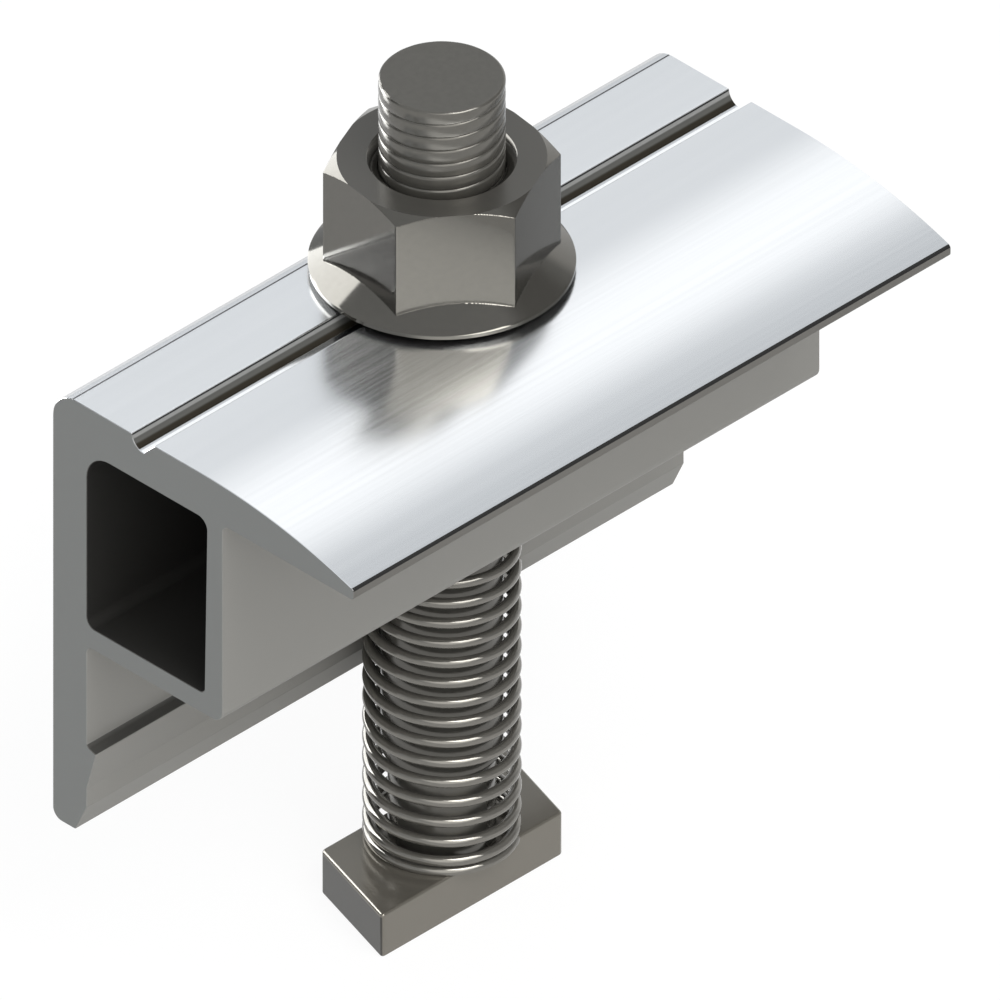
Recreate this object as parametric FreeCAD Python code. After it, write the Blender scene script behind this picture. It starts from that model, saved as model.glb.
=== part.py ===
import FreeCAD
import Part

import math
import os

# End clamp for the last solar module of a row, in millimetres.
# The Z axis is the bolt's axis, and Z = 0 is the upper face of the bolt's head, which grips
# the rail's lips from below. X runs along the extrusion, and its jaw points to -Y.

# Bolt
thread_diameter = 8.0
bolt_length = 57.7
end_chamfer = 0.2
thread_start = 30.0
shank_diameter = 7.7
neck_diameter = 6.8
neck_length = 6.1
neck_cone_length = 0.6
head_length = 16.0
head_width = 7.8
head_thickness = 3.2
head_skew = 2.4
head_corner_round = 0.3
head_edge_round = 0.25

# Compression spring, seated between the bolt's head and the underside of the extrusion
spring_length = 24.8
spring_diameter = 10.0
spring_wire = 0.7
spring_pitch = 1.523
spring_start_angle = 304.0
closed_turns = 1.0
closing_turns = 0.5
closed_coil_gap = 0.05
sections_per_turn = 20
wire_sides = 8

# Extrusion: sizes across are from the bolt's axis, sizes down are from the flat top
clamp_length = 52.8
box_depth = 18.3
back_reach = 8.0
front_reach = 7.0
top_wall = 3.35
floor_wall = 1.56
front_wall_top = 1.36
front_wall_bottom = 1.6
back_edge_round = 2.0
box_corner_round = 0.9
underside_fillet = 0.5
bolt_hole_clearance = 0.5
spring_clearance = 0.3
groove_depth = 1.0

# Jaw, with a crowned upper face
jaw_reach = 18.6
jaw_depth = 3.05
crown_start = 5.1
nose_thickness = 0.82
nose_upper_round = 0.5
nose_lower_round = 0.3
jaw_root_fillet = 0.5

# Leg behind the box, with a barb on its inner face and a chamfered foot
leg_thickness = 3.0
leg_depth = 32.8
barb_depth = 25.98
barb_reach = 0.83
barb_lip_fall = 0.27
barb_height = 3.22
barb_root_fillet = 0.35
foot_chamfer_height = 2.15
foot_chamfer_width = 1.0
foot_heel_round = 0.8
foot_toe_round = 0.2

# Corner rounds of the hollow, from the top back corner onwards
hollow_rounds = (2.0, 0.8, 0.4, 0.7)

# Hexagon nut with a conical flange
nut_across_flats = 13.0
nut_height = 8.5
nut_corner_angle = 22.5
nut_chamfer_angle = 30.0
nut_chamfer_round_part = 0.878
nut_countersink = 0.64
nut_running_clearance = 0.05
flange_diameter = 16.8
flange_underside_step = 0.7
flange_rim_base = 0.4
flange_rim_height = 0.25
flange_cone_angle = 31.0

# Worked-out places
thread_radius = thread_diameter / 2
box_underside = spring_length
clamp_top = box_underside + box_depth
leg_front = leg_thickness - back_reach
z_axis = FreeCAD.Vector(0, 0, 1)
x_axis = FreeCAD.Vector(1, 0, 0)

# How far apart two points may be and still count as one
same_place = 0.001


def section_point(across, down):
    """A point of the extrusion's near end: across towards the jaw, down from the flat top."""
    return FreeCAD.Vector(-clamp_length / 2, -across, clamp_top - down)


def rounded_wire(corners):
    """A closed wire through (across, down, radius) corners, rounded by tangent arcs."""
    points = [section_point(across, down) for across, down, radius in corners]
    starts = []
    ends = []
    arcs = []
    for index, here in enumerate(points):
        radius = corners[index][2]
        back = (points[index - 1] - here).normalize()
        ahead = (points[(index + 1) % len(points)] - here).normalize()
        half_angle = back.getAngle(ahead) / 2
        reach = radius / math.tan(half_angle)
        middle = (back + ahead).normalize() * (radius / math.sin(half_angle) - radius)
        starts.append(here + back * reach)
        ends.append(here + ahead * reach)
        if radius > 0:
            arcs.append(Part.Arc(starts[-1], here + middle, ends[-1]).toShape())
    lines = []
    for index, end in enumerate(ends):
        lines.append(Part.makeLine(end, starts[(index + 1) % len(starts)]))
    return Part.Wire(Part.__sortEdges__(lines + arcs))


def extruded(corners):
    """A prism of the rounded outline along the whole clamp."""
    return Part.Face(rounded_wire(corners)).extrude(x_axis * clamp_length)


def bar_along_x(across, down, radius):
    """A round bar along the whole clamp, for cutting or bounding its section."""
    return Part.makeCylinder(radius, clamp_length, section_point(across, down), x_axis)


def solid_section():
    """The extrusion before its hollow, groove and crown: top plate, box and leg."""
    barb_foot = barb_depth + barb_height
    chamfer_top = leg_depth - foot_chamfer_height
    return extruded([
        (-back_reach, 0, back_edge_round),
        (jaw_reach, 0, 0),
        (jaw_reach, jaw_depth, nose_lower_round),
        (front_reach, jaw_depth, jaw_root_fillet),
        (front_reach, box_depth, box_corner_round),
        (leg_front, box_depth, underside_fillet),
        (leg_front, barb_depth, barb_root_fillet),
        (leg_front + barb_reach, barb_depth + barb_lip_fall, 0),
        (leg_front, barb_foot, 0),
        (leg_front, chamfer_top, 0),
        (leg_front - foot_chamfer_width, leg_depth, foot_toe_round),
        (-back_reach, leg_depth, foot_heel_round),
    ])


def crowned(body):
    """The body with its jaw's top cut to an arc that leaves the flat top without a step."""
    crown_run = jaw_reach - crown_start
    crown_fall = jaw_depth - nose_thickness
    crown_radius = (crown_run ** 2 + crown_fall ** 2) / (2 * crown_fall)
    waste = Part.makeBox(clamp_length, crown_run, crown_fall,
                         section_point(jaw_reach, crown_fall))
    body = body.cut(waste.cut(bar_along_x(crown_start, crown_radius, crown_radius)))
    nose = section_point(jaw_reach, crown_fall)
    edges = [edge for edge in body.Edges if is_along_x_through(edge, nose)]
    return body.makeFillet(nose_upper_round, edges)


def is_along_x_through(edge, point):
    """Whether an edge runs along X at the point's Y and Z."""
    for vertex in edge.Vertexes:
        if math.hypot(vertex.Y - point.y, vertex.Z - point.z) > same_place:
            return False
    return True


def hollow():
    """The closed channel inside the box, open at both ends of the extrusion."""
    bottom = box_depth - floor_wall
    top_back, top_front, bottom_front, bottom_back = hollow_rounds
    return extruded([
        (leg_front, top_wall, top_back),
        (front_reach - front_wall_top, top_wall, top_front),
        (front_reach - front_wall_bottom, bottom, bottom_front),
        (leg_front, bottom, bottom_back),
    ])


def make_clamp_profile():
    body = crowned(solid_section())
    body = body.cut(hollow())
    body = body.cut(centring_groove())
    bolt_hole = Part.makeCylinder(thread_radius + bolt_hole_clearance, box_depth,
                                  FreeCAD.Vector(0, 0, box_underside), z_axis)
    return body.cut(bolt_hole).cut(spring_relief())


def centring_groove():
    """The groove in the top: round on its back side, and slanting up at 45 degrees to the jaw."""
    on_slant = groove_depth * math.cos(math.radians(45))
    bottom = section_point(0, groove_depth)
    back_rim = section_point(-groove_depth, 0)
    arc = Part.Arc(back_rim, section_point(-on_slant, on_slant), bottom).toShape()
    above_jaw_rim = section_point(2 * groove_depth, -groove_depth)
    above_back_rim = section_point(-groove_depth, -groove_depth)
    rest = Part.makePolygon([bottom, above_jaw_rim, above_back_rim, back_rim])
    return Part.Face(Part.Wire([arc] + rest.Edges)).extrude(x_axis * clamp_length)


def spring_relief():
    """The round recess that lets the spring pass the leg and its barb."""
    depth = leg_depth - box_depth
    return Part.makeCylinder(spring_diameter / 2 + spring_clearance, depth,
                             FreeCAD.Vector(0, 0, box_underside - depth), z_axis)


def revolved(outline):
    """A turned solid from (radius, height) points, closed along the axis where needed."""
    points = [FreeCAD.Vector(radius, 0, height) for radius, height in outline]
    face = Part.Face(Part.makePolygon(points + points[:1]))
    return face.revolve(FreeCAD.Vector(0, 0, 0), z_axis, 360)


def bolt_head():
    """A slanted hammer head: two of its corners are cut back so that it turns one way only."""
    half_width = head_width / 2
    half_length = head_length / 2
    half_skew = head_skew / 2
    corners = [
        FreeCAD.Vector(-half_length - half_skew, -half_width, -head_thickness),
        FreeCAD.Vector(half_length - half_skew, -half_width, -head_thickness),
        FreeCAD.Vector(half_length + half_skew, half_width, -head_thickness),
        FreeCAD.Vector(-half_length + half_skew, half_width, -head_thickness),
    ]
    face = Part.Face(Part.makePolygon(corners + corners[:1]))
    head = face.extrude(z_axis * head_thickness)
    upright = [edge for edge in head.Edges if edge.BoundBox.ZLength > head_thickness / 2]
    head = head.makeFillet(head_corner_round, upright)
    upper = [edge for edge in head.Edges if edge.BoundBox.ZMin > -head_thickness / 2]
    return head.makeFillet(head_edge_round, upper)


def make_hammer_bolt():
    neck_radius = neck_diameter / 2
    shank_radius = shank_diameter / 2
    sunk = head_thickness / 2
    shank = revolved([
        (0, -sunk),
        (neck_radius, -sunk),
        (neck_radius, neck_length),
        (shank_radius, neck_length + neck_cone_length),
        (shank_radius, thread_start),
        (thread_radius, thread_start + thread_radius - shank_radius),
        (thread_radius, bolt_length - end_chamfer),
        (thread_radius - end_chamfer, bolt_length),
        (0, bolt_length),
    ])
    return bolt_head().fuse(shank).removeSplitter()


def spring_sections():
    """Turn and height of each section of the coil: closed ends, and even turns between."""
    closed_pitch = spring_wire + closed_coil_gap
    closed_rise = closed_turns * closed_pitch
    end_turns = closed_turns + closing_turns
    end_rise = closed_rise + closing_turns * (closed_pitch + spring_pitch) / 2
    all_turns = 2 * end_turns + (spring_length - 2 * end_rise) / spring_pitch

    def rise_from_end(turn):
        past_closed = turn - closed_turns
        if past_closed <= 0:
            return turn * closed_pitch
        if past_closed < closing_turns:
            growth = (spring_pitch - closed_pitch) / closing_turns
            return closed_rise + past_closed * closed_pitch + growth * past_closed ** 2 / 2
        return end_rise + (turn - end_turns) * spring_pitch

    count = round(all_turns * sections_per_turn)
    places = []
    for index in range(count + 1):
        turn = all_turns * index / count
        if turn < all_turns / 2:
            places.append((turn, rise_from_end(turn)))
        else:
            places.append((turn, spring_length - rise_from_end(all_turns - turn)))
    return places


def wire_section(turn, height):
    """The wire's section at one place of the coil, in the plane through the bolt's axis."""
    angle = math.radians(spring_start_angle - 360 * turn)
    outward = FreeCAD.Vector(math.cos(angle), math.sin(angle), 0)
    centre = outward * (spring_diameter - spring_wire) / 2 + z_axis * height
    corner_radius = spring_wire / 2 / math.cos(math.pi / wire_sides)
    corners = []
    for side in range(wire_sides + 1):
        lean = 2 * math.pi * (side + 0.5) / wire_sides
        corner = outward * math.cos(lean) + z_axis * math.sin(lean)
        corners.append(centre + corner * corner_radius)
    return Part.makePolygon(corners)


def make_spring():
    """A left-hand coil of even sections, ground flat at both ends."""
    sections = [wire_section(turn, height) for turn, height in spring_sections()]
    coil = Part.makeLoft(sections, True, True)
    return coil.common(Part.makeCylinder(spring_diameter, spring_length))


def hexagon(radius, height):
    """The nut's hexagonal bar, turned about the bolt as it stands on the clamp."""
    corners = []
    for index in range(7):
        angle = math.radians(60 * index + nut_corner_angle)
        corners.append(FreeCAD.Vector(radius * math.cos(angle), radius * math.sin(angle), 0))
    return Part.Face(Part.makePolygon(corners)).extrude(z_axis * height)


def make_flange_nut():
    corner_radius = nut_across_flats / math.sqrt(3)
    bore_radius = thread_radius + nut_running_clearance
    mouth_radius = bore_radius + nut_countersink
    flange_radius = flange_diameter / 2
    cone_slope = math.tan(math.radians(flange_cone_angle))
    chamfer_slope = math.tan(math.radians(nut_chamfer_angle))
    rim_top = flange_rim_base + flange_rim_height
    top_radius = nut_chamfer_round_part * corner_radius
    shoulder = nut_height - (flange_radius - top_radius) * chamfer_slope
    turned_top = revolved([
        (0, 0),
        (flange_radius, 0),
        (flange_radius, shoulder),
        (top_radius, nut_height),
        (0, nut_height),
    ])
    flange = revolved([
        (0, 0),
        (flange_radius - flange_underside_step, 0),
        (flange_radius, flange_rim_base),
        (flange_radius, rim_top),
        (0, rim_top + flange_radius * cone_slope),
    ])
    bore = revolved([
        (0, 0),
        (mouth_radius, 0),
        (bore_radius, nut_countersink),
        (bore_radius, nut_height - nut_countersink),
        (mouth_radius, nut_height),
        (0, nut_height),
    ])
    nut = hexagon(corner_radius, nut_height).common(turned_top).fuse(flange).cut(bore)
    nut.translate(z_axis * clamp_top)
    return nut


nodes = {
    "clamp_profile": make_clamp_profile(),
    "hammer_bolt": make_hammer_bolt(),
    "spring": make_spring(),
    "flange_nut": make_flange_nut(),
}
os.makedirs("parts", exist_ok=True)
for name, shape in nodes.items():
    shape.exportStep("parts/" + name + ".step")
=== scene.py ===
import math

import bmesh
import bpy
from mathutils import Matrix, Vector


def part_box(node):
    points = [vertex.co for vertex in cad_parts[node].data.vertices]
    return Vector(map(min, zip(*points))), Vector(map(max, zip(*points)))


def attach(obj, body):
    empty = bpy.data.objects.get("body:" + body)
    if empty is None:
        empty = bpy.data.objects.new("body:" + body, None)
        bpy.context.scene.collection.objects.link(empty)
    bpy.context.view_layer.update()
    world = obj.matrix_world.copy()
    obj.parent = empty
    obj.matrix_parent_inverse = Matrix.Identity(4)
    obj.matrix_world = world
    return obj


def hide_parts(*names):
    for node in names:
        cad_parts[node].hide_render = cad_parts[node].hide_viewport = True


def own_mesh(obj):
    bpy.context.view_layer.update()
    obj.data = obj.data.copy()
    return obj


# End clamp for a solar module. Lengths are in metres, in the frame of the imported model.
MM = 0.001

# Camera: a parallel view from equal angles to the three axes
FRAME_WIDTH = 62.5 * MM
VIEW_AZIMUTH = -45.0
VIEW_ELEVATION = 35.264
TARGET_RIGHT = 3.63 * MM
TARGET_UP = 20.66 * MM
CAMERA_DISTANCE = 0.4

# Extrusion, across towards the jaw and down from the flat top
TOP_WALL = 3.35 * MM
FLOOR_WALL = 1.56 * MM
BOX_DEPTH = 18.3 * MM
BACK_REACH = 8.0 * MM
FRONT_REACH = 7.0 * MM
FRONT_WALL_TOP = 1.36 * MM
FRONT_WALL_BOTTOM = 1.6 * MM
JAW_REACH = 18.6 * MM
JAW_DEPTH = 3.05 * MM
CROWN_START = 5.1 * MM
NOSE_THICKNESS = 0.82 * MM
NOSE_UPPER_ROUND = 0.3 * MM
NOSE_LOWER_ROUND = 0.3 * MM
JAW_ROOT_ROUND = 0.5 * MM
BOX_CORNER_ROUND = 0.9 * MM
LEG_THICKNESS = 3.0 * MM
LEG_FRONT = LEG_THICKNESS - BACK_REACH
LEG_DEPTH = 32.8 * MM
LEG_ROOT_ROUND = 0.5 * MM
BARB_DEPTH = 25.98 * MM
BARB_REACH = 0.83 * MM
BARB_LIP_FALL = 0.27 * MM
BARB_LIP_ROUND = 0.12 * MM
BARB_HEIGHT = 3.22 * MM
BARB_ROOT_ROUND = 0.35 * MM
BARB_FOOT_ROUND = 0.3 * MM
FOOT_CHAMFER_HEIGHT = 2.15 * MM
FOOT_CHAMFER_WIDTH = 1.0 * MM
FOOT_CHAMFER_UPPER_ROUND = 0.15 * MM
FOOT_CHAMFER_LOWER_ROUND = 0.2 * MM
FOOT_BACK_ROUND = 0.8 * MM
HOLLOW_TOP_BACK_ROUND = 2.0 * MM
HOLLOW_TOP_FRONT_ROUND = 0.8 * MM
HOLLOW_BOTTOM_FRONT_ROUND = 0.4 * MM
HOLLOW_BOTTOM_BACK_ROUND = 0.7 * MM
GROOVE_DEPTH = 1.0 * MM
GROOVE_RIM_ROUND = 0.12 * MM
GROOVE_STEPS = 8
BACK_EDGE_ROUND = 2.0 * MM
BOLT_HOLE_RADIUS = 4.5 * MM
SPRING_PASSAGE_RADIUS = 5.3 * MM
EDGE_BREAK = 0.04 * MM

# Meshes: shading breaks at edges sharper than the angles, and nearer points are joined
SMOOTH_ANGLE = 30.0
BOLT_SMOOTH_ANGLE = 40.0
SPRING_SMOOTH_ANGLE = 45.0
NUT_SMOOTH_ANGLE = 20.0
SAME_PLACE = 1e-7
SAME_PLACE_AFTER_BEVEL = 1e-6

# Bolt. The thread's groove is given by half its width, as a share of the pitch
THREAD_RADIUS = 4.0 * MM
THREAD_PITCH = 1.0 * MM
THREAD_BARREL = 0.05 * MM
THREAD_GROOVE_DEPTH = 0.05 * MM
THREAD_GROOVE_HALF_WIDTH = 0.08
THREAD_START = 30.0 * MM
SHANK_RADIUS = 3.85 * MM
BOLT_END_ROUND = 0.2 * MM
NECK_RADIUS = 3.4 * MM
NECK_LENGTH = 6.1 * MM
NECK_CONE_LENGTH = 0.6 * MM
HEAD_LENGTH = 16.0 * MM
HEAD_WIDTH = 7.8 * MM
HEAD_THICKNESS = 3.2 * MM
HEAD_SKEW = 2.4 * MM
HEAD_CORNER_ROUND = 0.3 * MM
HEAD_EDGE_ROUND = 0.25 * MM
HEAD_LOWER_ROUND = 0.08 * MM
THREAD_SEGMENTS = 96
THREAD_ROWS_PER_PITCH = 16

# Spring
SPRING_RADIUS = 5.0 * MM
SPRING_WIRE = 0.7 * MM
SPRING_PITCH = 1.523 * MM
SPRING_START_ANGLE = 304.0
CLOSED_TURNS = 1.0
CLOSING_TURNS = 0.5
CLOSED_PITCH = SPRING_WIRE + 0.05 * MM
SPRING_SECTIONS_PER_TURN = 72
WIRE_SIDES = 20

# Nut. The round part is the top's radius, as a share of the hexagon's corner radius
NUT_ACROSS_FLATS = 13.0 * MM
NUT_HEIGHT = 8.5 * MM
NUT_CORNER_ANGLE = 22.5
NUT_CHAMFER_ANGLE = 30.0
NUT_CHAMFER_ROUND_PART = 0.878
NUT_COUNTERSINK = 0.64 * MM
NUT_BORE_RADIUS = 4.05 * MM
FLANGE_RADIUS = 8.4 * MM
FLANGE_UNDERSIDE_STEP = 0.7 * MM
FLANGE_RIM_BASE = 0.4 * MM
FLANGE_RIM_HEIGHT = 0.25 * MM
FLANGE_CONE_ANGLE = 31.0
NUT_SEGMENTS = 720
NUT_EDGE_BLEND = 0.025 * MM
NUT_TOP_INSETS = (0.04 * MM, 0.12 * MM)
# Stretches of the nut's height with evenly spaced rows: low end, high end, rows
NUT_STRETCHES = [
    (FLANGE_RIM_BASE, 0.8 * MM, 10),
    (0.8 * MM, 1.1 * MM, 4),
    (1.1 * MM, 1.95 * MM, 30),
    (1.95 * MM, 7.8 * MM, 8),
    (7.8 * MM, NUT_HEIGHT, 26),
]

# Finish of the extrusion, whose darker colours are painted shade. A facing or fade is where a share
# starts and where it ends
TOP_COLOUR = (0.93, 0.945, 0.96)
TOP_ROUGHNESS = 0.2
TOP_ROUGHNESS_SPREAD = 0.1
TOP_FACING = (0.1, 0.3)
POLISH_REACH = 3.2 * MM
POLISH_FADE = 0.2 * MM
# The sides' darker colour is painted shade
SIDE_SHADE_COLOUR = (0.26, 0.255, 0.24)
SIDE_ROUGHNESS = 0.5
SIDE_METALLIC = 0.3
# The sawn ends' darker, cooler colour is painted shade
END_SHADE_COLOUR = (0.21, 0.215, 0.21)
END_FACING = (0.6, 0.9)
# Painted shade inside the hollow
HOLLOW_SHADE_COLOUR = (0.035, 0.034, 0.032)
# Painted shadow on the ledge under the box
LEDGE_SHADOW_COLOUR = (0.085, 0.083, 0.078)
# Painted shade on the nose
NOSE_SHADE_COLOUR = (0.14, 0.135, 0.125)
# Painted dark lines along the nose's edge and the groove's rim, standing in for dark reflections
SHADE_LINE_COLOUR = (0.02, 0.02, 0.02)
# Painted dark line along the start of the back edge's round, standing in for a dark reflection
BACK_ROUND_SHADE_LINE_COLOUR = (0.09, 0.09, 0.095)
# Painted shade in the groove, darkest at its floor
GROOVE_FLOOR_SHADE_COLOUR = (0.02, 0.017, 0.012)
GROOVE_SIDE_SHADE_COLOUR = (0.085, 0.085, 0.08)
GROOVE_RIM_SHADE_COLOUR = (0.25, 0.25, 0.245)
ALUMINIUM_SPECULAR_LEVEL = 0.15
ALUMINIUM_SPECULAR_TINT = (0.65, 0.65, 0.65, 1)
DRAWN_LINE_SCALE = (12, 4000, 4000)
SAW_MARK_SCALE = (1, 300, 6000)
ALUMINIUM_BUMP = 0.001 * MM

# Where each tone of the groove's painted shade gives way to the next, as shares of its depth
GROOVE_SIDE_FADE = (0.76, 0.62)
GROOVE_RIM_FADE = (0.45, 0.34)
GROOVE_EDGE_FADE = (0.17, 0.13)

# Bands of the section with painted shade, as two (across, down) corners
GROOVE_BAND = ((-1.1 * GROOVE_DEPTH, 0.04 * GROOVE_DEPTH),
               (-0.2 * GROOVE_DEPTH, 0.93 * GROOVE_DEPTH))
HOLLOW_BAND = ((LEG_FRONT - 0.1 * MM, TOP_WALL - 0.1 * MM),
               (FRONT_REACH - 1.2 * MM, BOX_DEPTH - 1.4 * MM))
NOSE_BAND = ((JAW_REACH - 0.32 * MM, 2.3 * MM), (JAW_REACH + MM, JAW_DEPTH + 0.1 * MM))
NOSE_LINE_BAND = ((JAW_REACH - 0.25 * MM, 2.17 * MM), (JAW_REACH + MM, 2.36 * MM))
LEDGE_BAND = ((LEG_FRONT - 0.05 * MM, BARB_DEPTH - 0.15 * MM),
              (LEG_FRONT + BARB_REACH - 0.06 * MM, BARB_DEPTH + BARB_LIP_FALL))
BACK_ROUND_SHADE_LINE_BAND = ((-6.33 * MM, -0.13 * MM), (-6.2 * MM, 0.13 * MM))

# Finish of the steel pieces, with painted light on the bolt's head and painted shade on the head's
# ends, the nut's top and under the flange. Fades are heights, and the nut's two are from its own
# ends
STEEL_COLOUR = (0.12, 0.115, 0.103)
STEEL_GRAIN_SCALE = (2500, 2500, 2500)
STEEL_GRAIN_TONES = (0.88, 1.04)
STEEL_ROUGHNESS_SPREAD = 0.15
STEEL_BUMP = 0.0005 * MM
BUMP_STRENGTH = 0.3
GRAIN_RANGE = (0.3, 0.7)
BOLT_METALLIC = 0.55
BOLT_ROUGHNESS = 0.18
# Painted light: the head is lighter than the rest of the bolt
HEAD_PAINTED_LIGHT_COLOUR = (0.18, 0.168, 0.145)
HEAD_FADE = (0.03 * MM, 0.1 * MM)
# Painted shade on the head's ends
HEAD_END_SHADE_COLOUR = (0.06, 0.058, 0.053)
HEAD_END_FADE = (-0.3 * MM, -0.15 * MM)
HEAD_END_FACING = (0.7, 0.9)
WIRE_COLOUR = (0.185, 0.177, 0.16)
WIRE_METALLIC = 0.6
WIRE_ROUGHNESS = 0.08
NUT_METALLIC = 0.8
NUT_ROUGHNESS = 0.08
# Painted shade: the nut's faced top is darker; its roughness and metallic are its own finish
NUT_TOP_SHADE_COLOUR = (0.098, 0.094, 0.085)
NUT_TOP_METALLIC = 0.5
NUT_TOP_ROUGHNESS = 0.25
NUT_TOP_FADE = (0.1 * MM, 0.05 * MM)
NUT_TOP_FACING = (0.93, 0.98)
# Painted shadow under the flange
UNDERSIDE_SHADOW_COLOUR = (0.03, 0.029, 0.027)
UNDERSIDE_FADE = (0.35 * MM, 0.42 * MM)

# Studio. A lamp's azimuth, elevation, distance, width, height, radiance and colour
LAMP_AIM_HEIGHT = 0.03
KEY_LIGHT = (272, 58, 0.5, 0.29, 0.16, 6.0, (1.0, 0.99, 0.97))
# Lamps that show in glossy surfaces alone
REFLECTED_PANELS = {
    "back_panel": (96, 20, 0.14, 0.095, 0.16, 6.0, (0.98, 0.99, 1.0)),
    "left_panel": (110, 14, 0.06, 0.020, 0.052, 6.0, (0.98, 0.99, 1.0)),
    "front_panel": (272, 50, 0.5, 0.29, 0.36, 5.0, (1.0, 0.99, 0.97)),
}
FLOOR_REACH = 3.0
FLOOR_GAP = 0.05 * MM
FLOOR_COLOUR = (0.8, 0.8, 0.8, 1)
FLOOR_GLOW = 1.05
FLOOR_GLOW_SHARE = 0.85
SKY_COLOUR = (0.68, 0.70, 0.72)
# A patch's azimuth and elevation, inner and outer half-angle in degrees, and colour
SKY_PATCHES = [
    (240, 33, 14, 40, (2.5, 2.48, 2.43)),
    (34, 47, 3, 14, (1.12, 1.13, 1.14)),
    (8, 56, 3, 14, (0.52, 0.54, 0.56)),
    (0, 30, 8, 22, (0.55, 0.56, 0.57)),
    (-37, 30, 24, 34, (0.30, 0.30, 0.30)),
    (125, 18, 14, 26, (0.1, 0.1, 0.1)),
    (20, 10, 12, 24, (1.2, 1.2, 1.2)),
]

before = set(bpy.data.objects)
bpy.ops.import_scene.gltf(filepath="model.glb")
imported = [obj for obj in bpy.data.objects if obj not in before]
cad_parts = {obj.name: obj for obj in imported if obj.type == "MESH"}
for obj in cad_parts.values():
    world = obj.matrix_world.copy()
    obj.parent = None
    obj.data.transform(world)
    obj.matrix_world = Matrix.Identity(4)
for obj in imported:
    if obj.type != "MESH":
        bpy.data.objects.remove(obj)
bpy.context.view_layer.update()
clamp_low, clamp_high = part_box("clamp_profile")
nut_low, nut_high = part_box("flange_nut")
bolt_low, bolt_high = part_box("hammer_bolt")
spring_low, spring_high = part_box("spring")


# Mesh helpers

def new_object(name, vertices, faces, smooth_angle=SMOOTH_ANGLE):
    """A mesh object at the origin, smooth apart from edges sharper than the angle."""
    mesh = bpy.data.meshes.new(name)
    mesh.from_pydata([tuple(v) for v in vertices], [], faces)
    mesh.validate()
    piece = bpy.data.objects.new(name, mesh)
    bpy.context.scene.collection.objects.link(piece)
    make_smooth(piece, smooth_angle)
    return piece


def make_smooth(piece, smooth_angle, mend=True):
    """Smooth shading that breaks at sharper edges; mend joins points and turns faces outwards."""
    work = bmesh.new()
    work.from_mesh(piece.data)
    if mend:
        bmesh.ops.remove_doubles(work, verts=work.verts, dist=SAME_PLACE)
        bmesh.ops.recalc_face_normals(work, faces=work.faces)
    limit = math.radians(smooth_angle)
    for face in work.faces:
        face.smooth = True
    for edge in work.edges:
        edge.smooth = len(edge.link_faces) == 2 and edge.calc_face_angle(0) < limit
    work.to_mesh(piece.data)
    work.free()


def apply_modifiers(piece):
    """Turns the piece's modifiers into plain geometry."""
    graph = bpy.context.evaluated_depsgraph_get()
    mesh = bpy.data.meshes.new_from_object(piece.evaluated_get(graph))
    piece.modifiers.clear()
    piece.data = mesh


def weight_normals(piece):
    """Shading normals that follow the larger faces, so that flats look flat beside their rounds."""
    modifier = piece.modifiers.new("weighted", "WEIGHTED_NORMAL")
    modifier.keep_sharp = True
    modifier.weight = 100
    apply_modifiers(piece)


def grid_faces(rows, columns, wrap):
    """Quads of a grid of points stored row by row; wrap joins the last column to the first."""
    faces = []
    for row in range(rows - 1):
        for column in range(columns if wrap else columns - 1):
            here = row * columns + column
            beside = row * columns + (column + 1) % columns
            faces.append((here, beside, beside + columns, here + columns))
    return faces


# Extrusion

def section_point(across, down):
    """Place of a point of the section: across towards the jaw, down from the flat top."""
    return (-across, clamp_high.z - down)


def rounded_outline(corners, steps=8):
    """Points of a closed outline through (across, down, radius) corners, rounded by arcs."""
    places = [Vector(section_point(across, down)) for across, down, radius in corners]
    outline = []
    for index, here in enumerate(places):
        radius = corners[index][2]
        if radius == 0:
            outline.append(here)
            continue
        back = (places[index - 1] - here).normalized()
        ahead = (places[(index + 1) % len(places)] - here).normalized()
        half_angle = back.angle(ahead) / 2
        centre = here + (back + ahead).normalized() * radius / math.sin(half_angle)
        reach = radius / math.tan(half_angle)
        first = here + back * reach - centre
        last = here + ahead * reach - centre
        sweep = first.angle_signed(last)
        for step in range(steps + 1):
            turn = -sweep * step / steps
            spoke = Vector((first.x * math.cos(turn) - first.y * math.sin(turn),
                            first.x * math.sin(turn) + first.y * math.cos(turn)))
            outline.append(centre + spoke)
    return outline


def crown_points(steps=48):
    """The jaw's crowned top, from the nose back to where the flat top starts."""
    run = JAW_REACH - CROWN_START
    fall = JAW_DEPTH - NOSE_THICKNESS
    radius = (run ** 2 + fall ** 2) / (2 * fall)
    end_angle = math.asin(run / radius)
    points = []
    for step in range(steps + 1):
        angle = end_angle * step / steps
        points.append((CROWN_START + radius * math.sin(angle), radius * (1 - math.cos(angle))))
    return points


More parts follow.
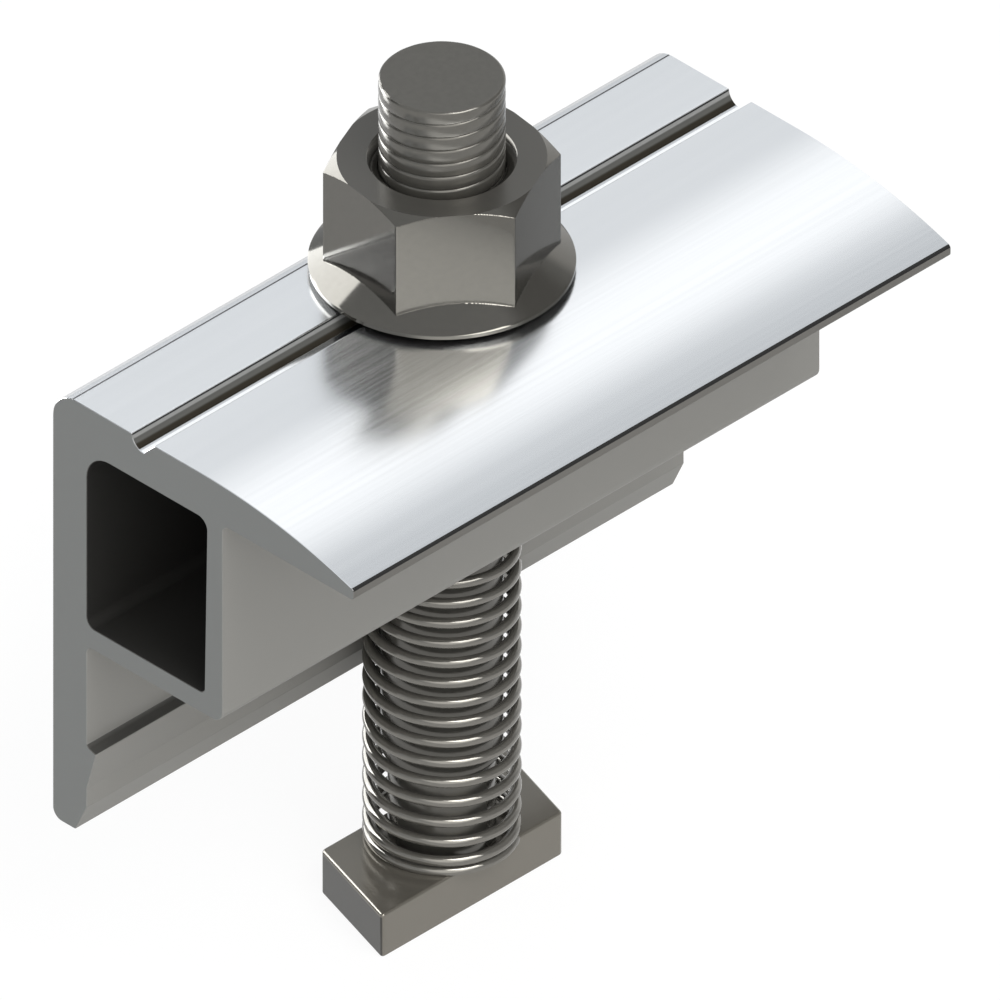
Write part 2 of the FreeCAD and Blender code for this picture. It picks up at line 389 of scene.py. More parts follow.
def outer_corners():
    """The section's outline: top with its groove, crowned jaw, box and leg."""
    groove = []
    for step in range(GROOVE_STEPS + 1):
        angle = math.pi / 2 * step / GROOVE_STEPS
        groove.append((-GROOVE_DEPTH * math.cos(angle), GROOVE_DEPTH * math.sin(angle), 0))
    groove[0] = (-GROOVE_DEPTH, 0, GROOVE_RIM_ROUND)
    groove.append((GROOVE_DEPTH, 0, GROOVE_RIM_ROUND))
    crown = [(across, down, 0) for across, down in crown_points()]
    nose_across, nose_down, no_round = crown[-1]
    crown[-1] = (nose_across, nose_down, NOSE_UPPER_ROUND)
    return [(-BACK_REACH, 0, BACK_EDGE_ROUND)] + groove + crown + [
        (JAW_REACH, JAW_DEPTH, NOSE_LOWER_ROUND),
        (FRONT_REACH, JAW_DEPTH, JAW_ROOT_ROUND),
        (FRONT_REACH, BOX_DEPTH, BOX_CORNER_ROUND),
        (LEG_FRONT, BOX_DEPTH, LEG_ROOT_ROUND),
        (LEG_FRONT, BARB_DEPTH, BARB_ROOT_ROUND),
        (LEG_FRONT + BARB_REACH, BARB_DEPTH + BARB_LIP_FALL, BARB_LIP_ROUND),
        (LEG_FRONT, BARB_DEPTH + BARB_HEIGHT, BARB_FOOT_ROUND),
        (LEG_FRONT, LEG_DEPTH - FOOT_CHAMFER_HEIGHT, FOOT_CHAMFER_UPPER_ROUND),
        (LEG_FRONT - FOOT_CHAMFER_WIDTH, LEG_DEPTH, FOOT_CHAMFER_LOWER_ROUND),
        (-BACK_REACH, LEG_DEPTH, FOOT_BACK_ROUND),
    ]


def hollow_corners():
    """The hollow's outline in the section."""
    bottom = BOX_DEPTH - FLOOR_WALL
    return [
        (LEG_FRONT, TOP_WALL, HOLLOW_TOP_BACK_ROUND),
        (FRONT_REACH - FRONT_WALL_TOP, TOP_WALL, HOLLOW_TOP_FRONT_ROUND),
        (FRONT_REACH - FRONT_WALL_BOTTOM, bottom, HOLLOW_BOTTOM_FRONT_ROUND),
        (LEG_FRONT, bottom, HOLLOW_BOTTOM_BACK_ROUND),
    ]


def moved_out(outline, distance):
    """The closed outline with each point moved outwards, or inwards if the distance is negative."""
    count = len(outline)
    area = sum(outline[i - 1].x * outline[i].y - outline[i].x * outline[i - 1].y
               for i in range(count))
    side = distance if area > 0 else -distance
    result = []
    for index, here in enumerate(outline):
        back = (here - outline[index - 1]).normalized()
        ahead = (outline[(index + 1) % count] - here).normalized()
        along = (back + ahead).normalized()
        result.append(here + Vector((along.y, -along.x)) * side / max(along.dot(back), 0.5))
    return result


def hollow_bar(name, outer_sections, inner_sections):
    """A bar along X that is open all through, from (x, outline) sections outside and inside."""
    vertices = []
    faces = []
    for sections in (outer_sections, inner_sections):
        first = len(vertices)
        count = len(sections[0][1])
        vertices += [(x, y, z) for x, outline in sections for y, z in outline]
        faces += [tuple(first + corner for corner in face)
                  for face in grid_faces(len(sections), count, True)]
    bar = new_object(name, vertices, faces)
    work = bmesh.new()
    work.from_mesh(bar.data)
    for end in (outer_sections[0][0], outer_sections[-1][0]):
        rims = [edge for edge in work.edges if edge.is_boundary
                and abs(edge.verts[0].co.x - end) + abs(edge.verts[1].co.x - end) < EDGE_BREAK]
        bmesh.ops.triangle_fill(work, edges=rims, use_beauty=True)
    work.to_mesh(bar.data)
    work.free()
    make_smooth(bar, SMOOTH_ANGLE)
    return bar


def upright_cylinder(name, radius, low, high, segments=128):
    """A closed cylinder about the bolt's axis."""
    vertices = []
    for height in (low, high):
        for index in range(segments):
            angle = 2 * math.pi * index / segments
            vertices.append((radius * math.cos(angle), radius * math.sin(angle), height))
    faces = grid_faces(2, segments, True)
    faces += [tuple(range(segments)), tuple(range(segments, 2 * segments))]
    return new_object(name, vertices, faces)


def cut(piece, *tools):
    """Takes the tools' space out of the piece."""
    for tool in tools:
        modifier = piece.modifiers.new("cut", "BOOLEAN")
        modifier.operation = "DIFFERENCE"
        modifier.solver = "EXACT"
        modifier.object = tool
    bpy.context.view_layer.update()
    apply_modifiers(piece)
    for tool in tools:
        bpy.data.objects.remove(tool)


def make_extrusion():
    """The drawn bar with its sawn ends, bolt hole and round recess for the spring."""
    start = clamp_low.x
    end = clamp_high.x
    over = 1 * MM
    box_underside = clamp_high.z - BOX_DEPTH
    outline = rounded_outline(outer_corners())
    narrow = moved_out(outline, -EDGE_BREAK)
    hollow = rounded_outline(hollow_corners())
    wide = moved_out(hollow, EDGE_BREAK)
    body = hollow_bar(
        "end_clamp_extrusion",
        [(start, narrow), (start + EDGE_BREAK, outline), (end - EDGE_BREAK, outline), (end, narrow)],
        [(start, wide), (start + EDGE_BREAK, hollow), (end - EDGE_BREAK, hollow), (end, wide)])
    bolt_hole = upright_cylinder("bolt_hole", BOLT_HOLE_RADIUS,
                                 box_underside - over, clamp_high.z + over)
    relief = upright_cylinder("relief", SPRING_PASSAGE_RADIUS,
                              clamp_low.z - over, box_underside)
    cut(body, bolt_hole, relief)
    make_smooth(body, SMOOTH_ANGLE, mend=False)
    weight_normals(body)
    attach(body, "clamp")
    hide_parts("clamp_profile")
    return body


# Bolt

def thread_radius_at(phase):
    """Radius of the thread at a phase of 0 to 1 along one pitch: a shallow barrel and a groove."""
    from_middle = 2 * phase - 1
    near_groove = max(1 - min(phase, 1 - phase) / THREAD_GROOVE_HALF_WIDTH, 0)
    return THREAD_RADIUS - THREAD_BARREL * from_middle ** 2 - THREAD_GROOVE_DEPTH * near_groove


def shank_outline_radius(height):
    """Largest radius of the shank at a height: neck, cone, plain part, thread, rounded end."""
    cone_part = min(max((height - NECK_LENGTH) / NECK_CONE_LENGTH, 0), 1)
    cone = NECK_RADIUS + cone_part * (SHANK_RADIUS - NECK_RADIUS)
    cone += min(max(height - THREAD_START, 0), THREAD_RADIUS - SHANK_RADIUS)
    into_round = max(BOLT_END_ROUND - (bolt_high.z - height), 0)
    end_fall = BOLT_END_ROUND - math.sqrt(max(BOLT_END_ROUND ** 2 - into_round ** 2, 0))
    return min(cone, THREAD_RADIUS - end_fall)


def make_shank():
    """Neck and threaded shank as one helical grid, closed at both ends."""
    foot = -HEAD_THICKNESS / 2
    pitches = round((bolt_high.z - NECK_LENGTH) / THREAD_PITCH) + 2
    rows = pitches * THREAD_ROWS_PER_PITCH
    columns = THREAD_SEGMENTS + 1
    vertices = []
    for column in range(columns):
        angle = 2 * math.pi * column / THREAD_SEGMENTS
        vertices.append((NECK_RADIUS * math.cos(angle), NECK_RADIUS * math.sin(angle), foot))
    for row in range(rows):
        phase = row / THREAD_ROWS_PER_PITCH
        for column in range(columns):
            turn = column / THREAD_SEGMENTS
            angle = 2 * math.pi * turn
            height = NECK_LENGTH + THREAD_PITCH * (phase + turn - 1)
            height = min(max(height, NECK_LENGTH), bolt_high.z)
            radius = min(thread_radius_at(phase % 1), shank_outline_radius(height))
            vertices.append((radius * math.cos(angle), radius * math.sin(angle), height))
    faces = grid_faces(rows + 1, columns, False)
    last_row = rows * columns
    faces.append(tuple(range(THREAD_SEGMENTS)))
    faces.append(tuple(range(last_row, last_row + THREAD_SEGMENTS)))
    return new_object("threaded_hammer_bolt", vertices, faces)


def make_head():
    """Slanted hammer head with rounded corners and a rolled upper edge."""
    half_width = HEAD_WIDTH / 2
    half_length = HEAD_LENGTH / 2
    half_skew = HEAD_SKEW / 2
    corners = [(-half_length - half_skew, -half_width), (half_length - half_skew, -half_width),
               (half_length + half_skew, half_width), (-half_length + half_skew, half_width)]
    vertices = [(x, y, bolt_low.z) for x, y in corners] + [(x, y, 0) for x, y in corners]
    head = new_object("head", vertices, [(0, 1, 2, 3), (4, 5, 6, 7)] + grid_faces(2, 4, True))
    bevel_edges(head, is_upright, HEAD_CORNER_ROUND, 6)
    bevel_edges(head, is_on_top, HEAD_EDGE_ROUND, 4)
    bevel_edges(head, is_at_bottom, HEAD_LOWER_ROUND, 2)
    return head


def is_upright(edge):
    return abs(edge.verts[0].co.z - edge.verts[1].co.z) > HEAD_THICKNESS / 2


def is_on_top(edge):
    return min(vertex.co.z for vertex in edge.verts) > -EDGE_BREAK


def is_at_bottom(edge):
    return max(vertex.co.z for vertex in edge.verts) < bolt_low.z + EDGE_BREAK


def bevel_edges(piece, chosen, width, segments):
    """Rounds the edges that the rule picks out."""
    work = bmesh.new()
    work.from_mesh(piece.data)
    edges = [edge for edge in work.edges if chosen(edge)]
    bmesh.ops.bevel(work, geom=edges, offset=width, segments=segments, profile=0.5,
                    affect="EDGES", clamp_overlap=True)
    bmesh.ops.remove_doubles(work, verts=work.verts, dist=SAME_PLACE_AFTER_BEVEL)
    work.to_mesh(piece.data)
    work.free()


def make_bolt():
    """Shank and head joined into one closed piece."""
    shank = make_shank()
    head = make_head()
    union = shank.modifiers.new("head", "BOOLEAN")
    union.operation = "UNION"
    union.solver = "EXACT"
    union.object = head
    apply_modifiers(shank)
    bpy.data.objects.remove(head)
    make_smooth(shank, BOLT_SMOOTH_ANGLE)
    weight_normals(shank)
    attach(shank, "bolt")
    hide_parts("hammer_bolt")
    return shank


# Spring

def coil_height(turn, all_turns):
    """Height of the wire's centre above the head after some turns from the lower end."""
    from_end = min(turn, all_turns - turn)
    past_closed = from_end - CLOSED_TURNS
    if past_closed <= 0:
        rise = from_end * CLOSED_PITCH
    elif past_closed < CLOSING_TURNS:
        growth = (SPRING_PITCH - CLOSED_PITCH) / CLOSING_TURNS
        rise = CLOSED_TURNS * CLOSED_PITCH + past_closed * CLOSED_PITCH
        rise += growth * past_closed ** 2 / 2
    else:
        rise = spring_end_rise() + (past_closed - CLOSING_TURNS) * SPRING_PITCH
    return rise if turn <= all_turns / 2 else spring_high.z - rise


def spring_end_rise():
    """Height that the wire gains up to where the even turns start."""
    return CLOSED_TURNS * CLOSED_PITCH + CLOSING_TURNS * (CLOSED_PITCH + SPRING_PITCH) / 2


def make_spring():
    """A left-hand coil of round wire, ground flat at both ends."""
    end_turns = CLOSED_TURNS + CLOSING_TURNS
    all_turns = 2 * end_turns + (spring_high.z - 2 * spring_end_rise()) / SPRING_PITCH
    sections = round(all_turns * SPRING_SECTIONS_PER_TURN)
    wire_radius = SPRING_WIRE / 2
    coil_radius = SPRING_RADIUS - wire_radius
    vertices = []
    for section in range(sections + 1):
        turn = all_turns * section / sections
        angle = math.radians(SPRING_START_ANGLE - 360 * turn)
        centre = coil_height(turn, all_turns)
        for side in range(WIRE_SIDES):
            lean = 2 * math.pi * side / WIRE_SIDES
            radius = coil_radius + wire_radius * math.cos(lean)
            height = centre + wire_radius * math.sin(lean)
            height = min(max(height, spring_low.z), spring_high.z)
            vertices.append((radius * math.cos(angle), radius * math.sin(angle), height))
    faces = grid_faces(sections + 1, WIRE_SIDES, True)
    last = sections * WIRE_SIDES
    faces += [tuple(range(WIRE_SIDES)), tuple(range(last, last + WIRE_SIDES))]
    spring = new_object("coil_spring", vertices, faces, SPRING_SMOOTH_ANGLE)
    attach(spring, "spring")
    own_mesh(spring)
    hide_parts("spring")
    return spring


# Nut

def soft_min(a, b, blend):
    """The smaller value, with the crease between the two rounded."""
    near = max(blend - abs(a - b), 0) / blend
    return min(a, b) - near * near * blend / 4


def hexagon_radius(angle):
    """Radius of the hexagon at an angle, with rounded corners."""
    turned = math.degrees(angle) - NUT_CORNER_ANGLE - 30
    from_flat = math.radians((turned + 30) % 60 - 30)
    apothem = NUT_ACROSS_FLATS / 2
    here = apothem / math.cos(from_flat)
    beside = apothem / math.cos(math.radians(60) - abs(from_flat))
    return soft_min(here, beside, NUT_EDGE_BLEND)


def nut_radius(angle, height):
    """Outer radius of the nut at an angle and a height above the clamp."""
    top_radius = NUT_CHAMFER_ROUND_PART * NUT_ACROSS_FLATS / math.sqrt(3)
    chamfer = top_radius + (NUT_HEIGHT - height) / math.tan(math.radians(NUT_CHAMFER_ANGLE))
    body = soft_min(hexagon_radius(angle), chamfer, NUT_EDGE_BLEND)
    rim_top = FLANGE_RIM_BASE + FLANGE_RIM_HEIGHT
    cone = FLANGE_RADIUS - (height - rim_top) / math.tan(math.radians(FLANGE_CONE_ANGLE))
    rim = soft_min(FLANGE_RADIUS, cone, NUT_EDGE_BLEND)
    return -soft_min(-body, -rim, NUT_EDGE_BLEND)


def nut_heights():
    """Heights of the outside's rows, close together where forms meet."""
    heights = []
    for low, high, steps in NUT_STRETCHES:
        heights += [low + (high - low) * step / steps for step in range(steps)]
    return heights + [NUT_HEIGHT]


def make_nut():
    """Hexagon with a conical flange, as one closed grid of rings about the axis."""
    mouth_radius = NUT_BORE_RADIUS + NUT_COUNTERSINK
    foot_radius = FLANGE_RADIUS - FLANGE_UNDERSIDE_STEP
    rings = []
    angles = [2 * math.pi * step / NUT_SEGMENTS for step in range(NUT_SEGMENTS)]

    def plain_ring(radius, height):
        rings.append([(radius, height)] * NUT_SEGMENTS)

    plain_ring(mouth_radius, 0)
    plain_ring(foot_radius - EDGE_BREAK, 0)
    plain_ring(foot_radius, EDGE_BREAK / 4)
    plain_ring(FLANGE_RADIUS - EDGE_BREAK, FLANGE_RIM_BASE - EDGE_BREAK)
    for height in nut_heights():
        rings.append([(nut_radius(angle, height), height) for angle in angles])
    outer = [radius for radius, height in rings[-1]]
    for inset in NUT_TOP_INSETS:
        rings.append([(radius - inset, NUT_HEIGHT) for radius in outer])
    plain_ring(mouth_radius + EDGE_BREAK, NUT_HEIGHT)
    plain_ring(mouth_radius, NUT_HEIGHT - EDGE_BREAK / 2)
    plain_ring(NUT_BORE_RADIUS, NUT_HEIGHT - NUT_COUNTERSINK)
    plain_ring(NUT_BORE_RADIUS, NUT_COUNTERSINK)
    vertices = []
    for ring in rings:
        for angle, (radius, height) in zip(angles, ring):
            vertices.append((radius * math.cos(angle), radius * math.sin(angle),
                             nut_low.z + height))
    faces = grid_faces(len(rings), NUT_SEGMENTS, True)
    last = (len(rings) - 1) * NUT_SEGMENTS
    for column in range(NUT_SEGMENTS):
        beside = (column + 1) % NUT_SEGMENTS
        faces.append((last + column, last + beside, beside, column))
    nut = new_object("hexagon_flange_nut", vertices, faces, NUT_SMOOTH_ANGLE)
    weight_normals(nut)
    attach(nut, "nut")
    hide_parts("flange_nut")
    return nut


# Materials

def new_material(name):
    """A new material with its nodes, links and shader."""
    material = bpy.data.materials.new(name)
    material.use_nodes = True
    return (material, *material_parts(material))


def material_parts(material):
    """The material's nodes, links and shader."""
    nodes = material.node_tree.nodes
    return nodes, material.node_tree.links, nodes["Principled BSDF"]


def stretched_noise(nodes, links, scale, detail):
    """Noise in the part's own frame, with a scale for each axis in cells per metre."""
    place = nodes.new("ShaderNodeTexCoord")
    mapping = nodes.new("ShaderNodeMapping")
    mapping.inputs["Scale"].default_value = scale
    noise = nodes.new("ShaderNodeTexNoise")
    noise.inputs["Scale"].default_value = 1
    noise.inputs["Detail"].default_value = detail
    links.new(place.outputs["Object"], mapping.inputs["Vector"])
    links.new(mapping.outputs["Vector"], noise.inputs["Vector"])
    return noise.outputs["Fac"]


def add_bump(nodes, links, shader, height, distance):
    """Fine relief in the shading alone."""
    bump = nodes.new("ShaderNodeBump")
    bump.inputs["Distance"].default_value = distance
    bump.inputs["Strength"].default_value = BUMP_STRENGTH
    links.new(height, bump.inputs["Height"])
    links.new(bump.outputs["Normal"], shader.inputs["Normal"])


def ramp(nodes, links, value, low, high, low_value, high_value):
    """A value mapped smoothly from one range to another, whose ends are numbers or sockets."""
    node = nodes.new("ShaderNodeMapRange")
    node.interpolation_type = "SMOOTHSTEP"
    node.inputs["From Min"].default_value = low
    node.inputs["From Max"].default_value = high
    for name, end_value in (("To Min", low_value), ("To Max", high_value)):
        if isinstance(end_value, bpy.types.NodeSocket):
            links.new(end_value, node.inputs[name])
        else:
            node.inputs[name].default_value = end_value
    links.new(value, node.inputs["Value"])
    return node.outputs["Result"]


def place_of(nodes, links):
    """Where the surface is in the part's own frame, as X, Y and Z sockets."""
    parts = nodes.new("ShaderNodeSeparateXYZ")
    links.new(nodes.new("ShaderNodeTexCoord").outputs["Object"], parts.inputs["Vector"])
    return parts.outputs


def facing_of(nodes, links):
    """Which way the surface faces in the scene's frame, as X, Y and Z sockets."""
    parts = nodes.new("ShaderNodeSeparateXYZ")
    links.new(nodes.new("ShaderNodeNewGeometry").outputs["Normal"], parts.inputs["Vector"])
    return parts.outputs


def without_sign(nodes, links, value):
    """The value's size, whatever its sign."""
    node = nodes.new("ShaderNodeMath")
    node.operation = "ABSOLUTE"
    links.new(value, node.inputs[0])
    return node.outputs["Value"]


def combine(nodes, links, operation, first, second):
    """The result of a math operation on two values."""
    node = nodes.new("ShaderNodeMath")
    node.operation = operation
    links.new(first, node.inputs[0])
    links.new(second, node.inputs[1])
    return node.outputs["Value"]


def blend_colour(nodes, links, share, under, over):
    """A colour with another laid over it by a share. Colours are plain or sockets."""
    node = nodes.new("ShaderNodeMix")
    node.data_type = "RGBA"
    for name, colour in (("A", under), ("B", over)):
        if isinstance(colour, bpy.types.NodeSocket):
            links.new(colour, node.inputs[name])
        else:
            node.inputs[name].default_value = (*colour, 1)
    links.new(share, node.inputs["Factor"])
    return node.outputs["Result"]


def box_share(nodes, links, low, high):
    """1 inside a box of the part's own frame and 0 outside, with a narrow soft edge."""
    place = nodes.new("ShaderNodeTexCoord")
    centred = nodes.new("ShaderNodeVectorMath")
    centred.operation = "SUBTRACT"
    centred.inputs[1].default_value = (Vector(low) + Vector(high)) / 2
    links.new(place.outputs["Object"], centred.inputs[0])
    scaled = nodes.new("ShaderNodeVectorMath")
    scaled.operation = "DIVIDE"
    scaled.inputs[1].default_value = (Vector(high) - Vector(low)) / 2
    links.new(centred.outputs["Vector"], scaled.inputs[0])
    size = nodes.new("ShaderNodeVectorMath")
    size.operation = "ABSOLUTE"
    links.new(scaled.outputs["Vector"], size.inputs[0])
    parts = nodes.new("ShaderNodeSeparateXYZ")
    links.new(size.outputs["Vector"], parts.inputs["Vector"])
    farthest = combine(nodes, links, "MAXIMUM", parts.outputs["X"], parts.outputs["Y"])
    farthest = combine(nodes, links, "MAXIMUM", farthest, parts.outputs["Z"])
    return ramp(nodes, links, farthest, 0.995, 1.0, 1, 0)


def section_band(nodes, links, low, high):
    """Share of the extrusion between two (across, down) corners of its section."""
    y_high, z_high = section_point(*low)
    y_low, z_low = section_point(*high)
    length = clamp_high.x + MM
    return box_share(nodes, links, (-length, y_low, z_low), (length, y_high, z_high))


def groove_painted_shade(nodes, links, height):
    """The groove's painted shade, in tones from its dark floor up to the painted dark line along its
    edge.
    """
    tone = GROOVE_FLOOR_SHADE_COLOUR
    for fade, colour in ((GROOVE_SIDE_FADE, GROOVE_SIDE_SHADE_COLOUR),
                         (GROOVE_RIM_FADE, GROOVE_RIM_SHADE_COLOUR),
                         (GROOVE_EDGE_FADE, SHADE_LINE_COLOUR)):
        low, high = [clamp_high.z - share * GROOVE_DEPTH for share in fade]
        tone = blend_colour(nodes, links, ramp(nodes, links, height, low, high, 0, 1),
                            tone, colour)
    return tone


def make_aluminium():
    """Bright and polished along the drawn top, rougher on the sides and sawn ends; painted shade
    darkens the sides, ends, hollow, groove, nose and ledge, and paints dark lines.
    """
    material, nodes, links, shader = new_material("aluminium")
    facing = facing_of(nodes, links)
    height = place_of(nodes, links)["Z"]
    drawn = ramp(nodes, links, without_sign(nodes, links, facing["X"]), *END_FACING, 1, 0)

    def drawn_band(low, high):
        """Share of a band of the section, without the sawn ends."""
        band = section_band(nodes, links, low, high)
        return combine(nodes, links, "MULTIPLY", band, drawn)

    groove_shade = drawn_band(*GROOVE_BAND)
    hollow_shade = drawn_band(*HOLLOW_BAND)
    nose_shade = drawn_band(*NOSE_BAND)
    nose_shade_line = drawn_band(*NOSE_LINE_BAND)
    ledge_shadow = drawn_band(*LEDGE_BAND)
    back_round_shade_line = drawn_band(*BACK_ROUND_SHADE_LINE_BAND)

    lowest = clamp_high.z - POLISH_REACH
    polished = combine(nodes, links, "MULTIPLY",
                       ramp(nodes, links, facing["Z"], *TOP_FACING, 0, 1),
                       ramp(nodes, links, height, lowest, lowest + POLISH_FADE, 0, 1))
    for share in (groove_shade, nose_shade_line, nose_shade, back_round_shade_line):
        polished = combine(nodes, links, "SUBTRACT", polished, share)

    # Painted shade: the sides and sawn ends are darker than the top
    colour = blend_colour(nodes, links, drawn, END_SHADE_COLOUR, SIDE_SHADE_COLOUR)
    # Painted shade on the nose, ledge, hollow and groove, and painted dark lines
    for share, over in ((nose_shade, NOSE_SHADE_COLOUR), (nose_shade_line, SHADE_LINE_COLOUR),
                        (ledge_shadow, LEDGE_SHADOW_COLOUR), (back_round_shade_line, BACK_ROUND_SHADE_LINE_COLOUR),
                        (hollow_shade, HOLLOW_SHADE_COLOUR),
                        (groove_shade, groove_painted_shade(nodes, links, height)),
                        (polished, TOP_COLOUR)):
        colour = blend_colour(nodes, links, share, colour, over)
    links.new(colour, shader.inputs["Base Color"])

    lines = stretched_noise(nodes, links, DRAWN_LINE_SCALE, 3)
    top_roughness = ramp(nodes, links, lines, *GRAIN_RANGE,
                         (1 - TOP_ROUGHNESS_SPREAD) * TOP_ROUGHNESS,
                         (1 + TOP_ROUGHNESS_SPREAD) * TOP_ROUGHNESS)
    links.new(ramp(nodes, links, polished, 0, 1, SIDE_ROUGHNESS, top_roughness),
              shader.inputs["Roughness"])
    links.new(ramp(nodes, links, polished, 0, 1, SIDE_METALLIC, 1), shader.inputs["Metallic"])
    shader.inputs["Specular IOR Level"].default_value = ALUMINIUM_SPECULAR_LEVEL
    shader.inputs["Specular Tint"].default_value = ALUMINIUM_SPECULAR_TINT
    saw_marks = stretched_noise(nodes, links, SAW_MARK_SCALE, 2)
    marks = ramp(nodes, links, drawn, 0, 1, saw_marks, lines)
    add_bump(nodes, links, shader, marks, ALUMINIUM_BUMP)
    return material


def make_steel(name, colour, metallic, roughness):
    """Bright but darkish steel with a fine grain."""
    material, nodes, links, shader = new_material(name)
    shader.inputs["Metallic"].default_value = metallic
    grain = stretched_noise(nodes, links, STEEL_GRAIN_SCALE, 3)
    darker, lighter = [tuple(tone * part for part in colour) for tone in STEEL_GRAIN_TONES]
    links.new(blend_colour(nodes, links, grain, darker, lighter), shader.inputs["Base Color"])
    links.new(ramp(nodes, links, grain, *GRAIN_RANGE, (1 - STEEL_ROUGHNESS_SPREAD) * roughness,
                   (1 + STEEL_ROUGHNESS_SPREAD) * roughness), shader.inputs["Roughness"])
    add_bump(nodes, links, shader, grain, STEEL_BUMP)
    return material


def lay_over(material, share, over):
    """Lays a colour over what the material has, by a share."""
    nodes, links, shader = material_parts(material)
    socket = shader.inputs["Base Color"]
    under = socket.links[0].from_socket
    links.new(blend_colour(nodes, links, share, under, over), socket)


def make_bolt_steel():
    """Rolled steel; painted light makes the head a little lighter, and painted shade darkens the
    head's cropped ends.
    """
    material = make_steel("rolled_steel", STEEL_COLOUR, BOLT_METALLIC, BOLT_ROUGHNESS)
    nodes, links, shader = material_parts(material)
    height = place_of(nodes, links)["Z"]
    lay_over(material, ramp(nodes, links, height, *HEAD_FADE, 1, 0), HEAD_PAINTED_LIGHT_COLOUR)
    sideways = without_sign(nodes, links, facing_of(nodes, links)["X"])
    shaded_ends = ramp(nodes, links, sideways, *HEAD_END_FACING, 0, 1)
    below_edge = ramp(nodes, links, height, *HEAD_END_FADE, 1, 0)
    lay_over(material, combine(nodes, links, "MULTIPLY", shaded_ends, below_edge), HEAD_END_SHADE_COLOUR)
    return material


def make_nut_steel():
    """Turned steel, rougher and less metallic on the faced top, with painted shade darkening the top
    and a painted shadow under the flange.
    """
    material = make_steel("turned_steel", STEEL_COLOUR, NUT_METALLIC, NUT_ROUGHNESS)
    nodes, links, shader = material_parts(material)
    height = place_of(nodes, links)["Z"]
    low, high = [nut_low.z + reach for reach in UNDERSIDE_FADE]
    lay_over(material, ramp(nodes, links, height, low, high, 1, 0), UNDERSIDE_SHADOW_COLOUR)
    low, high = [nut_high.z - depth for depth in NUT_TOP_FADE]
    near_top = ramp(nodes, links, height, low, high, 0, 1)
    level = ramp(nodes, links, facing_of(nodes, links)["Z"], *NUT_TOP_FACING, 0, 1)
    faced_and_shaded_top = combine(nodes, links, "MULTIPLY", level, near_top)
    lay_over(material, faced_and_shaded_top, NUT_TOP_SHADE_COLOUR)
    links.new(ramp(nodes, links, faced_and_shaded_top, 0, 1, NUT_METALLIC, NUT_TOP_METALLIC),
              shader.inputs["Metallic"])
    turned = shader.inputs["Roughness"].links[0].from_socket
    links.new(ramp(nodes, links, faced_and_shaded_top, 0, 1, turned, NUT_TOP_ROUGHNESS),
              shader.inputs["Roughness"])
    return material


def dress(piece, material):
    piece.data.materials.clear()
    piece.data.materials.append(material)


# Camera, light and floor

def direction(azimuth, elevation):
    """Unit vector towards a place in the studio: azimuth from +X towards +Y, in degrees."""
    turn = math.radians(azimuth)
    lift = math.radians(elevation)
    return Vector((math.cos(turn) * math.cos(lift), math.sin(turn) * math.cos(lift),
                   math.sin(lift)))


def place_camera():
    """A parallel camera at the photograph's angle, aimed at the middle of its frame."""
    azimuth = math.radians(VIEW_AZIMUTH)
    elevation = math.radians(VIEW_ELEVATION)
    right = Vector((math.cos(azimuth), math.sin(azimuth), 0))
    back = Vector((math.sin(azimuth) * math.cos(elevation),
                   -math.cos(azimuth) * math.cos(elevation), math.sin(elevation)))
    up = back.cross(right)
    data = bpy.data.cameras.new("camera")
    data.type = "ORTHO"
    data.ortho_scale = FRAME_WIDTH
    data.clip_start = 0.001
    data.clip_end = 10
    camera = bpy.data.objects.new("camera", data)
    camera.location = right * TARGET_RIGHT + up * TARGET_UP + back * CAMERA_DISTANCE
    camera.rotation_euler = back.to_track_quat("Z", "Y").to_euler()
    bpy.context.scene.collection.objects.link(camera)
    bpy.context.scene.camera = camera


def add_softbox(name, azimuth, elevation, distance, width, height, radiance, colour):
    """A rectangular lamp that faces the clamp; radiance is its brightness as seen."""
    data = bpy.data.lights.new(name, "AREA")
    data.shape = "RECTANGLE"
    data.size = width
    data.size_y = height
    data.energy = radiance * math.pi * width * height
    data.color = colour
    lamp = bpy.data.objects.new(name, data)
    away = direction(azimuth, elevation)
    lamp.location = away * distance + Vector((0, 0, LAMP_AIM_HEIGHT))
    lamp.rotation_euler = away.to_track_quat("Z", "Y").to_euler()
    bpy.context.scene.collection.objects.link(lamp)
    return lamp


def seen_directly(nodes, links):
    """1 for camera, glossy and transmission rays, and 0 for the rest."""
    path = nodes.new("ShaderNodeLightPath")
    total = path.outputs["Is Camera Ray"]
    for name in ("Is Glossy Ray", "Is Transmission Ray"):
        total = combine(nodes, links, "MAXIMUM", total, path.outputs[name])
    return total


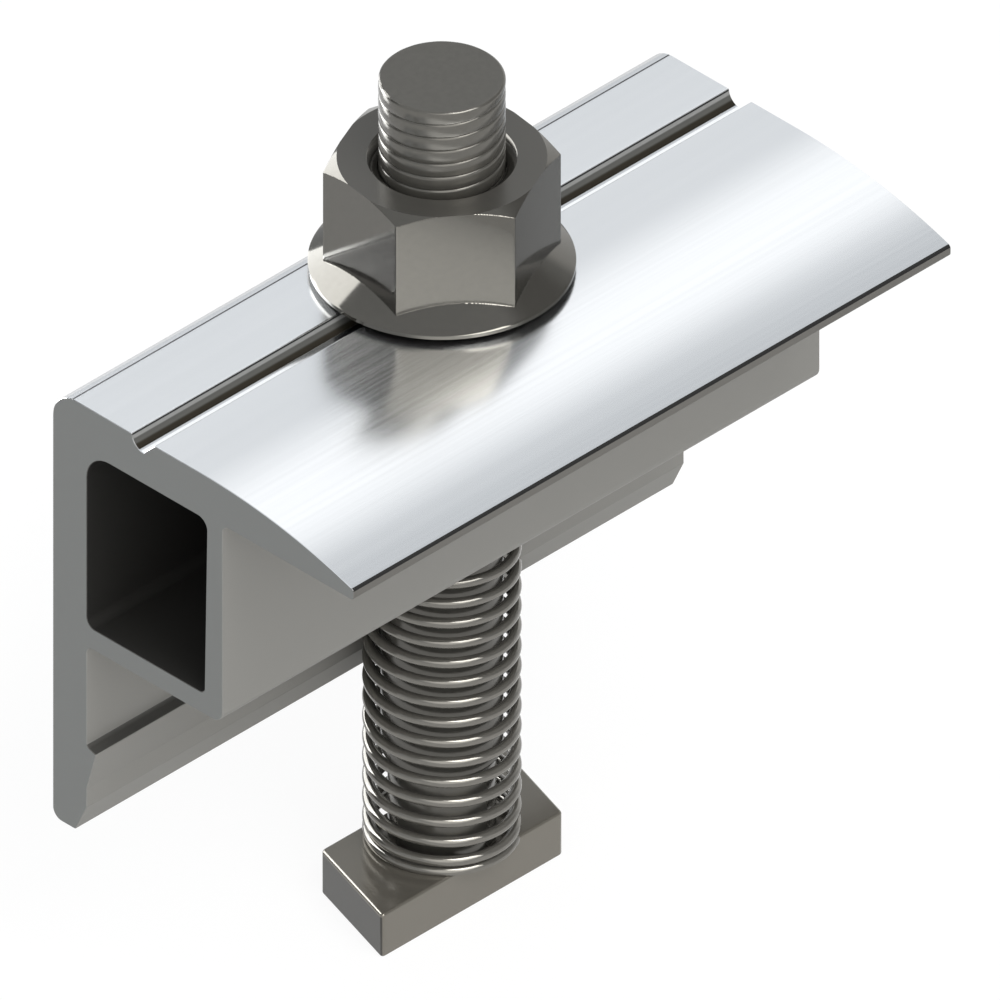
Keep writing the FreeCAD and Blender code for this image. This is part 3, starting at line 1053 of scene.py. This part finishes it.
def add_floor():
    """A pale floor that reads as white and keeps a faint shadow of the clamp."""
    reach = FLOOR_REACH
    level = bolt_low.z - FLOOR_GAP
    floor = new_object("floor", [(-reach, -reach, level), (reach, -reach, level),
                                 (reach, reach, level), (-reach, reach, level)],
                       [(0, 1, 2, 3)])
    material = bpy.data.materials.new("floor")
    material.use_nodes = True
    nodes = material.node_tree.nodes
    links = material.node_tree.links
    nodes.clear()
    diffuse = nodes.new("ShaderNodeBsdfDiffuse")
    diffuse.inputs["Color"].default_value = FLOOR_COLOUR
    glow = nodes.new("ShaderNodeEmission")
    glow.inputs["Strength"].default_value = FLOOR_GLOW
    share = nodes.new("ShaderNodeMath")
    share.operation = "MULTIPLY"
    share.inputs[1].default_value = FLOOR_GLOW_SHARE
    links.new(seen_directly(nodes, links), share.inputs[0])
    mix = nodes.new("ShaderNodeMixShader")
    links.new(share.outputs["Value"], mix.inputs["Fac"])
    links.new(diffuse.outputs["BSDF"], mix.inputs[1])
    links.new(glow.outputs["Emission"], mix.inputs[2])
    output = nodes.new("ShaderNodeOutputMaterial")
    links.new(mix.outputs["Shader"], output.inputs["Surface"])
    dress(floor, material)


def add_patch(nodes, links, colour, azimuth, elevation, inner, outer, radiance):
    """Blends a soft round patch of another brightness into the sky around one direction."""
    coordinates = nodes.new("ShaderNodeTexCoord")
    towards = nodes.new("ShaderNodeVectorMath")
    towards.operation = "DOT_PRODUCT"
    towards.inputs[1].default_value = direction(azimuth, elevation)
    links.new(coordinates.outputs["Generated"], towards.inputs[0])
    share = ramp(nodes, links, towards.outputs["Value"], math.cos(math.radians(outer)),
                 math.cos(math.radians(inner)), 0, 1)
    return blend_colour(nodes, links, share, colour, radiance)


def make_world():
    """A soft studio with a few brighter and darker patches, which the camera sees as white."""
    world = bpy.data.worlds.new("studio")
    world.use_nodes = True
    nodes = world.node_tree.nodes
    links = world.node_tree.links
    background = nodes["Background"]
    path = nodes.new("ShaderNodeLightPath")
    colour = SKY_COLOUR
    for patch in SKY_PATCHES:
        colour = add_patch(nodes, links, colour, *patch)
    white = blend_colour(nodes, links, path.outputs["Is Camera Ray"], colour, (1, 1, 1))
    links.new(white, background.inputs["Color"])
    bpy.context.scene.world = world


extrusion = make_extrusion()
bolt = make_bolt()
spring = make_spring()
nut = make_nut()
dress(extrusion, make_aluminium())
dress(bolt, make_bolt_steel())
dress(spring, make_steel("drawn_wire", WIRE_COLOUR, WIRE_METALLIC, WIRE_ROUGHNESS))
dress(nut, make_nut_steel())

place_camera()
add_softbox("key_light", *KEY_LIGHT)
for panel_name, panel in REFLECTED_PANELS.items():
    lamp = add_softbox(panel_name, *panel)
    lamp.visible_diffuse = False
    lamp.visible_camera = False
add_floor()
make_world()
bpy.context.scene.view_settings.view_transform = "Standard"
